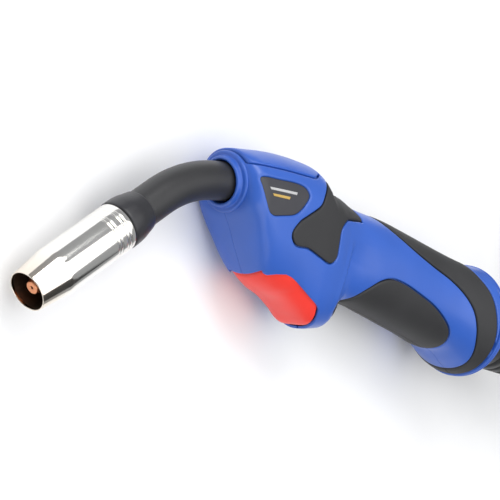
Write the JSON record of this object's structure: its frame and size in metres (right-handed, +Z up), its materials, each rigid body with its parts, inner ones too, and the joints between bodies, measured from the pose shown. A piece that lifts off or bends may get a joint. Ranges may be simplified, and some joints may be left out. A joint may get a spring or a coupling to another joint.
{
  "type": "mig welding torch",
  "caption": "Gas-cooled MIG welding torch lying on its side: chrome gas nozzle, bent neck, two-shell pistol handle with soft grips and red trigger, coiled power cable and central plug",
  "frame": {"origin": "centre of the bottom of the torch's own bounding box, cable, coil and plug left out", "axes": "+X runs from the nozzle to the cable, the torch's longest extent; +Y is the torch's own up; +Z is up from the floor and the torch's own left, its shortest extent"},
  "size_m": [0.6332, 0.2298, 0.0565],
  "materials": {
    "shell_blue": "satin",
    "grip_black": "soft matt grain",
    "trigger_red": "satin",
    "badge_grey": "fine matt",
    "neck_rubber": "smooth satin",
    "black_plastic": "satin",
    "cable_rubber": "matt",
    "nozzle_chrome": "polished",
    "tip_copper": "drawn copper",
    "brass": "turned",
    "steel": "zinc plated",
    "ceramic": "fired, matt",
    "lead_red": "satin"
  },
  "bodies": {
    "torch": {"handle_shell_left": "shell_blue", "handle_shell_right": "shell_blue", "top_cover": "shell_blue", "port_ring": "shell_blue", "rear_lock_ring": "shell_blue", "front_grip_pad_left": "grip_black", "front_grip_pad_right": "grip_black", "lower_grip_pad_left": "grip_black", "lower_grip_pad_right": "grip_black", "rear_grip_pad_left": "grip_black", "rear_grip_pad_right": "grip_black", "cable_support": "grip_black", "badge_plate_left": "badge_grey", "badge_plate_right": "badge_grey", "neck_sleeve": "neck_rubber", "neck_collar": "black_plastic", "switch_body": "black_plastic", "plug_cable_support": "black_plastic", "plug_housing_upper": "black_plastic", "plug_housing_lower": "black_plastic", "inner_cable": "cable_rubber", "power_cable": "cable_rubber", "power_cable_coil": "cable_rubber", "power_cable_lead": "cable_rubber", "switch_lead_2": "cable_rubber", "coil_tie_1": "cable_rubber", "coil_tie_2": "cable_rubber", "plug_o_ring": "cable_rubber", "contact_tip": "tip_copper", "swan_neck_tube": "tip_copper", "tip_holder": "brass", "neck_nut": "brass", "cable_connector": "brass", "plug_body": "brass", "plug_gas_nipple": "brass", "shell_screw_1": "steel", "shell_screw_2": "steel", "shell_screw_3": "steel", "shell_screw_4": "steel", "trigger_pin": "steel", "neck_liner": "steel", "nozzle_spring": "steel", "plug_screw_1": "steel", "plug_screw_2": "steel", "gas_diffuser": "ceramic", "switch_lead_1": "lead_red"},
    "trigger_lever": {"trigger": "trigger_red", "trigger_spring": "steel"},
    "plunger": {"switch_plunger": "lead_red"},
    "nozzle": {"gas_nozzle": "nozzle_chrome"},
    "union_nut": {"plug_union_nut": "black_plastic"},
    "contact_pin_1": {"plug_pin_1": "brass"},
    "contact_pin_2": {"plug_pin_2": "brass"}
  },
  "joints": [
    {"name": "trigger_pull", "type": "hinge", "parent": "torch", "child": "trigger_lever", "pos_m": [-0.03752, 0.009, 0.02153], "axis": [-0.0447, 0, 0.999], "range_deg": [0, 4], "stiffness_Nm_per_rad": 0.4, "springref_deg": -5.73},
    {"name": "switch_press", "type": "slide", "parent": "torch", "child": "plunger", "axis": [0, 1, 0], "range_m": [0, 0.0009]},
    {"name": "nozzle_pull_off", "type": "slide", "parent": "torch", "child": "nozzle", "axis": [-0.894, -0.4462, -0.04], "range_m": [0, 0.06]},
    {"name": "union_nut_turn", "type": "hinge", "parent": "torch", "child": "union_nut", "pos_m": [0.432, 0.094, 0.0221], "axis": [0, 1, 0], "continuous": true},
    {"name": "contact_pin_1_press", "type": "slide", "parent": "torch", "child": "contact_pin_1", "axis": [0, -1, 0], "range_m": [0, 0.003], "stiffness_N_per_m": 400, "springref_m": -0.002},
    {"name": "contact_pin_2_press", "type": "slide", "parent": "torch", "child": "contact_pin_2", "axis": [0, -1, 0], "range_m": [0, 0.003], "stiffness_N_per_m": 400, "springref_m": -0.002}
  ],
  "couplings": [
    {"joint": "switch_press", "follows": "trigger_pull", "m_per_rad": 0.0126}
  ]
}
